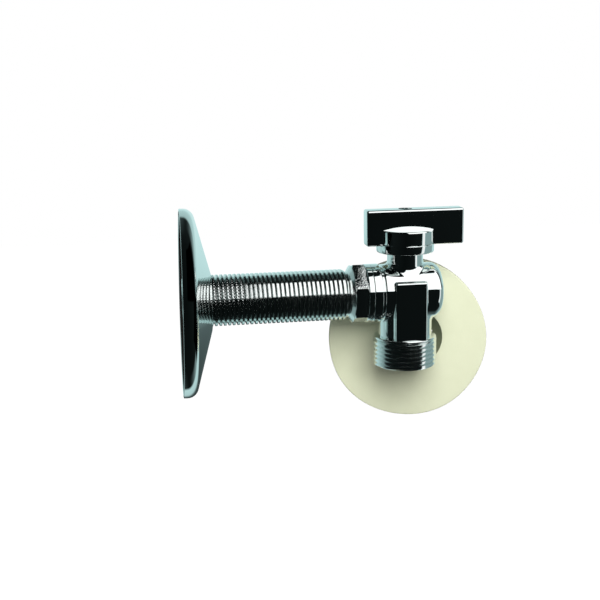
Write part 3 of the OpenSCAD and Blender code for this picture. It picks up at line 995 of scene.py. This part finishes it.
@dataclass
class SealingDisc:
    """The soft foam disc that lies loose behind the valve."""

    sizes: TapSizes
    finishes: Finishes
    radius: float = 34.5
    width: float = 4.0
    bore_r: float = 12.5
    bore_right: float = 2.4
    bore_rise: float = 1.2
    back: float = 16.0
    right: float = 2.8
    below: float = 25.2
    yaw_deg: float = 8.5
    edge: float = 0.5
    wobble: float = 0.35
    hole_taper: float = 3.6
    top_stretch: float = 0.055

    def build(self) -> bpy.types.Object:
        """Turns the disc, lets its cut edge wander and lays it in its place."""
        low, high, e = 0.0, self.width, self.edge
        rim = [*arc((self.radius - e, low + e), e, -90, 0, 4), *arc((self.radius - e, high - e), e, 0, 90, 4)]
        steps_in = [self.radius - e - (self.radius - self.bore_r - 2 * e) * i / 12 for i in range(1, 12)]
        back_r = self.bore_r - self.hole_taper
        hole = [*arc((back_r + e, high - e), e, 90, 180, 3), *arc((self.bore_r + e, low + e), e, 180, 270, 3)]
        outline = [*rim, *[(r, high) for r in steps_in], *hole, *[(r, low) for r in reversed(steps_in)]]
        mesh = lathe("sealing_disc", outline, Axis.STEM, steps=240, ring=True)
        turn = (Matrix.Translation((self.sizes.valve_x * MM, 0, 0))
                @ Matrix.Rotation(math.radians(-self.yaw_deg), 4, "Z")
                @ Matrix.Translation((self.right * MM, self.back * MM, -self.below * MM))
                @ Matrix.Rotation(math.radians(-90), 4, "X"))
        for vertex in mesh.vertices:
            x, y, z = vertex.co / MM
            radius, angle = math.hypot(x, y), math.atan2(y, x)
            share = (radius - self.bore_r) / (self.radius - self.bore_r)
            shift = self.wobble * (0.6 * math.sin(2 * angle + 0.7) + 0.4 * math.sin(5 * angle + 2.1)) - 0.3
            radius += shift * max(share, 0) ** 2
            off = 1 - min(max(share, 0), 1)
            x = radius * math.cos(angle) + self.bore_right * off
            y = radius * math.sin(angle) - self.bore_rise * off
            y *= 1 + self.top_stretch * max(share, 0) * (y < 0)
            vertex.co = turn @ Vector((x * MM, y * MM, z * MM))
        tidy_mesh(mesh, 60)
        mesh.materials.append(self.finishes.foam)
        mesh.materials.append(self.finishes.foam_hole_painted_shade)
        # The wall of the hole gets the dark painted shade instead of the foam's own colour.
        middle = turn @ Vector((self.bore_right * MM, -self.bore_rise * MM, self.width / 2 * MM))
        for face in mesh.polygons:
            away = face.center - middle
            face.material_index = int(away.length < (self.bore_r + 1.8) * MM and abs(face.normal.y) < 0.9)
        return new_object("sealing_disc_dressed", mesh)


@dataclass(frozen=True)
class Viewpoint:
    """The photograph's camera, worked out from the outlines of the tap in it."""

    down_deg: float = 12.4
    yaw_deg: float = 8.453
    roll_deg: float = -0.948
    distance: float = 450.0
    focal_px: float = 1093.8
    target: tuple[float, float, float] = (49.745, 0.0, -1.539)
    sensor_mm: float = 36.0

    def axes(self) -> tuple[Vector, Vector, Vector]:
        """Right, up and forward of the camera."""
        down, yaw, roll = (math.radians(v) for v in (self.down_deg, self.yaw_deg, self.roll_deg))
        ahead = Vector((math.sin(yaw) * math.cos(down), math.cos(yaw) * math.cos(down), -math.sin(down)))
        side = Vector((math.cos(yaw), -math.sin(yaw), 0))
        top = side.cross(ahead)
        right = side * math.cos(roll) + top * math.sin(roll)
        up = top * math.cos(roll) - side * math.sin(roll)
        return right, up, ahead

    def place(self) -> bpy.types.Object:
        """Makes the camera."""
        right, up, ahead = self.axes()
        data = bpy.data.cameras.new("photo_camera")
        data.sensor_width = self.sensor_mm
        data.lens = self.focal_px / PHOTO_SIDE_PX * self.sensor_mm
        data.clip_start = 0.01
        data.clip_end = 20.0
        camera = bpy.data.objects.new("photo_camera", data)
        bpy.context.scene.collection.objects.link(camera)
        turn = Matrix((right, up, -ahead)).transposed().to_4x4()
        camera.matrix_world = Matrix.Translation((Vector(self.target) - ahead * self.distance) * MM) @ turn
        bpy.context.scene.camera = camera
        return camera


@dataclass(frozen=True)
class Patch:
    """A soft-edged patch of light on the room's wall, in degrees round the camera's own axes."""

    az_deg: tuple[float, float]
    el_deg: tuple[float, float]
    glow: float
    soft_deg: float = 2.5


@dataclass
class Studio:
    """White surroundings, a window to the upper right, a dark room for the chrome and a pale floor."""

    view: Viewpoint
    dome_r: float = 0.55
    fill: float = 0.18
    window_power: float = 9.5
    window_size: float = 0.6
    window_distance: float = 0.85
    lights: tuple[Patch, ...] = (Patch((9.0, 88.0), (3.0, 65.0), 1.4, 2.0),
                                 Patch((68.0, 82.0), (-35.0, 4.0), 1.0),
                                 Patch((80.0, 125.0), (-35.0, 8.0), 0.36, 4.0))
    lamp_az_deg: float = 9.0
    lamp_el_deg: float = 23.0
    tint: tuple[float, float, float] = (0.70, 1.0, 1.0)
    floor_z: float = -0.62

    def turn(self) -> Matrix:
        """Turns the camera's right, up and back onto the world's axes."""
        right, up, ahead = self.view.axes()
        return Matrix((right, up, -ahead)).transposed()

    def world(self) -> None:
        """A white world that lights matt surfaces more gently than it shows."""
        world = bpy.data.worlds.new("studio")
        world.use_nodes = True
        bpy.context.scene.world = world
        sheet = NodeSheet(world.node_tree)
        back = world.node_tree.nodes["Background"]
        path = sheet.add("ShaderNodeLightPath").outputs
        seen = sheet.maths("MAXIMUM", path["Is Camera Ray"], path["Is Glossy Ray"])
        seen = sheet.maths("MAXIMUM", seen, path["Is Transmission Ray"])
        strength = sheet.maths("ADD", sheet.maths("MULTIPLY", seen, 1.0 - self.fill), self.fill)
        sheet.feed(back.inputs["Color"], (1.0, 1.0, 1.0, 1.0))
        sheet.feed(back.inputs["Strength"], strength)

    def window_lamp(self) -> None:
        """The lamp that lights matt surfaces from the window's side."""
        data = bpy.data.lights.new("window", "AREA")
        data.size = self.window_size
        data.energy = self.window_power
        lamp = bpy.data.objects.new("window", data)
        bpy.context.scene.collection.objects.link(lamp)
        lamp.visible_glossy = False
        az = math.radians(self.lamp_az_deg)
        el = math.radians(self.lamp_el_deg)
        way = self.turn() @ Vector((math.cos(el) * math.sin(az), math.sin(el), math.cos(el) * math.cos(az)))
        lamp.location = Vector(self.view.target) * MM + way * self.window_distance
        lamp.rotation_mode = "QUATERNION"
        lamp.rotation_quaternion = way.to_track_quat("Z", "Y")

    def patch_light(self, sheet: NodeSheet, az: bpy.types.NodeSocket, el: bpy.types.NodeSocket,
                    patch: Patch) -> bpy.types.NodeSocket:
        """How bright a patch is in each direction."""
        soft = math.radians(patch.soft_deg)
        az_low, az_high = (math.radians(v) for v in patch.az_deg)
        el_low, el_high = (math.radians(v) for v in patch.el_deg)
        m = sheet.maths
        wide = m("MULTIPLY", sheet.step(az, az_low - soft, az_low + soft),
                 sheet.step(az, az_high + soft, az_high - soft))
        tall = m("MULTIPLY", sheet.step(el, el_low - soft / 2, el_low + soft / 2),
                 sheet.step(el, el_high + soft, el_high - soft))
        return m("MULTIPLY", m("MULTIPLY", wide, tall), patch.glow)

    def room_light(self, sheet: NodeSheet) -> bpy.types.NodeSocket:
        """How light the room is in each direction, from ramps up, down, left and right of the view."""
        place = sheet.add("ShaderNodeTexCoord").outputs["Object"]
        aim = sheet.add("ShaderNodeVectorMath", place, operation="NORMALIZE").outputs[0]
        x, y, z = sheet.add("ShaderNodeSeparateXYZ", aim).outputs
        m = sheet.maths
        off = m("DIVIDE", m("ARCCOSINE", z), math.pi)

        def at(*stops: tuple[float, float]) -> bpy.types.NodeSocket:
            return sheet.ramp(off, [(deg / 180, grey) for deg, grey in stops])

        above = at((0, 0.004), (70, 0.006), (119, 0.015), (125, 0.55), (150, 0.7), (180, 0.8))
        below = at((0, 0.004), (118, 0.006), (124, 0.75), (140, 0.65), (150, 0.3), (180, 0.2))
        left = at((0, 0.004), (84, 0.01), (93, 0.4), (120, 0.65), (180, 0.8))
        right = at((0, 0.004), (96, 0.01), (104, 0.4), (116, 0.75), (180, 0.8))
        across = m("ADD", m("ADD", m("MULTIPLY", x, x), m("MULTIPLY", y, y)), 1e-6)
        side = m("DIVIDE", m("MULTIPLY", x, x), across)
        upright = m("DIVIDE", m("MULTIPLY", y, y), across)

        def pick(positive: object, negative: object, value: object) -> bpy.types.NodeSocket:
            sign = m("GREATER_THAN", value, 0.0)
            return m("ADD", m("MULTIPLY", positive, sign), m("MULTIPLY", negative, m("SUBTRACT", 1.0, sign)))

        light = m("ADD", m("MULTIPLY", pick(above, below, y), upright), m("MULTIPLY", pick(right, left, x), side))
        # Straight behind, the room goes from a pale wall down to a dark floor
        far = sheet.step(z, -0.78, -0.92)
        back = sheet.ramp(m("ADD", m("MULTIPLY", y, 0.5), 0.5),
                          [(0.40, 0.06), (0.46, 0.12), (0.50, 0.42), (0.53, 0.72), (0.6, 0.85)])
        light = m("ADD", m("MULTIPLY", light, m("SUBTRACT", 1.0, far)), m("MULTIPLY", back, far))
        return light

    def shell(self, name: str, radius: float) -> tuple[bpy.types.Object, NodeSheet, bpy.types.Node]:
        """A sphere round the tap that only reflections see, with its bare black shader."""
        work = bmesh.new()
        bmesh.ops.create_uvsphere(work, u_segments=96, v_segments=48, radius=radius)
        mesh = bpy.data.meshes.new(name)
        work.to_mesh(mesh)
        work.free()
        shell = new_object(name, mesh)
        shell.matrix_world = Matrix.Translation(Vector(self.view.target) * MM) @ self.turn().to_4x4()
        material = bpy.data.materials.new(name)
        material.use_nodes = True
        shader = material.node_tree.nodes["Principled BSDF"]
        shader.inputs["Base Color"].default_value = (0.0, 0.0, 0.0, 1.0)
        shader.inputs["Specular IOR Level"].default_value = 0.0
        shader.inputs["Emission Color"].default_value = (1.0, 1.0, 1.0, 1.0)
        shell.data.materials.append(material)
        shell.visible_camera = False
        shell.visible_diffuse = False
        shell.visible_shadow = False
        shell.visible_transmission = False
        return shell, NodeSheet(material.node_tree), shader

    def glow(self, sheet: NodeSheet, shader: bpy.types.Node, light: bpy.types.NodeSocket) -> None:
        """Lets a shell glow, pale teal where it isn't white."""
        colour = sheet.add("ShaderNodeMix", sheet.step(light, 0.8, 1.0), data_type="RGBA")
        colour.inputs[6].default_value = (*self.tint, 1.0)
        colour.inputs[7].default_value = (1.0, 1.0, 1.0, 1.0)
        sheet.feed(shader.inputs["Emission Color"], colour.outputs[2])
        sheet.feed(shader.inputs["Emission Strength"], light)

    def room(self) -> None:
        """The room round the tap."""
        _, sheet, shader = self.shell("room", self.dome_r)
        self.glow(sheet, shader, self.room_light(sheet))

    def window_pane(self) -> bpy.types.Object:
        """The windows, glowing pieces of a second shell just inside the room."""
        pane, sheet, shader = self.shell("window_pane", self.dome_r * 0.97)
        place = sheet.add("ShaderNodeTexCoord").outputs["Object"]
        aim = sheet.add("ShaderNodeVectorMath", place, operation="NORMALIZE").outputs[0]
        x, y, z = sheet.add("ShaderNodeSeparateXYZ", aim).outputs
        m = sheet.maths
        az, el = m("ARCTAN2", x, z), m("ARCSINE", y)
        patches = [(patch, self.patch_light(sheet, az, el, patch)) for patch in self.lights]
        light, cover = 0.0, 0.0
        for patch, glow in patches:
            light = m("MAXIMUM", light, glow)
            cover = m("MAXIMUM", cover, m("DIVIDE", glow, patch.glow))
        self.glow(sheet, shader, light)
        sheet.feed(shader.inputs["Alpha"], cover)
        return pane

    def shade_from_window(self, pane: bpy.types.Object, piece: bpy.types.Object) -> None:
        """Keeps the window's light off a piece, as a black card beside it would."""
        shaded = bpy.data.collections.new("shaded_from_window")
        shaded.objects.link(piece)
        shaded.collection_objects[0].light_linking.link_state = "EXCLUDE"
        pane.light_linking.receiver_collection = shaded

    def floor(self) -> None:
        """A pale floor well below the tap, which keeps its soft shadow."""
        side = 4.0 / MM
        low = self.floor_z / MM
        points = np.array([(-side, -side, low), (side, -side, low), (side, side, low), (-side, side, low)])
        floor = new_object("floor", mesh_from("floor", points, [[0, 1, 2, 3]]))
        material = bpy.data.materials.new("floor")
        material.use_nodes = True
        sheet = NodeSheet(material.node_tree)
        shader = material.node_tree.nodes["Principled BSDF"]
        shader.inputs["Base Color"].default_value = (0.6, 0.6, 0.6, 1.0)
        shader.inputs["Roughness"].default_value = 0.9
        shader.inputs["Specular IOR Level"].default_value = 0.0
        shader.inputs["Emission Color"].default_value = (1.0, 1.0, 1.0, 1.0)
        path = sheet.add("ShaderNodeLightPath").outputs
        seen = sheet.maths("MAXIMUM", path["Is Camera Ray"], path["Is Glossy Ray"])
        seen = sheet.maths("MAXIMUM", seen, path["Is Transmission Ray"])
        sheet.feed(shader.inputs["Emission Strength"], sheet.maths("MULTIPLY", seen, 0.92))
        floor.data.materials.append(material)

    def build(self) -> bpy.types.Object:
        """Sets up the whole studio and returns its window."""
        self.world()
        self.window_lamp()
        self.room()
        self.floor()
        bpy.context.scene.view_settings.view_transform = "Standard"
        return self.window_pane()


@dataclass
class Tap:
    """The whole tap, put on the CAD frame piece by piece."""

    nodes: dict[str, bpy.types.Object]
    sizes: TapSizes = SIZES
    finishes: Finishes = field(default_factory=Finishes)

    def put(self, piece: bpy.types.Object, node: str, body: str) -> None:
        """Lets a piece stand for a CAD node and ride on its body."""
        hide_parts(node)
        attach(piece, body)
        LOG.info("%s stands for %s: %d faces", piece.name, node, len(piece.data.polygons))

    def dress_inner(self) -> None:
        """Gives the small inner pieces their finishes."""
        looks = {"ball": self.finishes.chrome, "stem": self.finishes.brass, "handle_screw": self.finishes.steel,
                 "inlet_seat": self.finishes.seal_plastic, "back_seat": self.finishes.seal_plastic,
                 "thrust_washer": self.finishes.seal_plastic, "body_o_ring": self.finishes.rubber,
                 "stem_o_ring_lower": self.finishes.rubber, "stem_o_ring_upper": self.finishes.rubber}
        for name, material in looks.items():
            slots = self.nodes[name].data.materials
            slots.clear()
            slots.append(material)

    def build(self) -> bpy.types.Object:
        """Builds every piece in order and returns the rosette."""
        self.put(InletPipe(self.sizes, self.finishes).build(), "inlet_pipe", "tap")
        self.put(ValveBody(self.sizes, self.finishes).build(), "valve_body", "tap")
        self.put(Handle(self.sizes, self.finishes).build(), "handle", "lever")
        rosette = Rosette(self.sizes, self.finishes).build()
        self.put(rosette, "rosette", "cover")
        disc = SealingDisc(self.sizes, self.finishes).build()
        self.put(disc, "sealing_disc", "tap")
        self.dress_inner()
        return rosette


def corners(box: tuple[Sequence[float], Sequence[float]]) -> list[list[float]]:
    """A box's two corners as plain lists."""
    return [[float(v) for v in corner] for corner in box]


def main() -> None:
    """Loads the frame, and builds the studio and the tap."""
    logging.basicConfig(level=logging.INFO, format="%(name)s: %(message)s")
    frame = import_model()
    view = Viewpoint()
    view.place()
    studio = Studio(view)
    pane = studio.build()
    rosette = Tap(frame["nodes"]).build()
    studio.shade_from_window(pane, rosette)


if __name__ == "__main__":
    main()
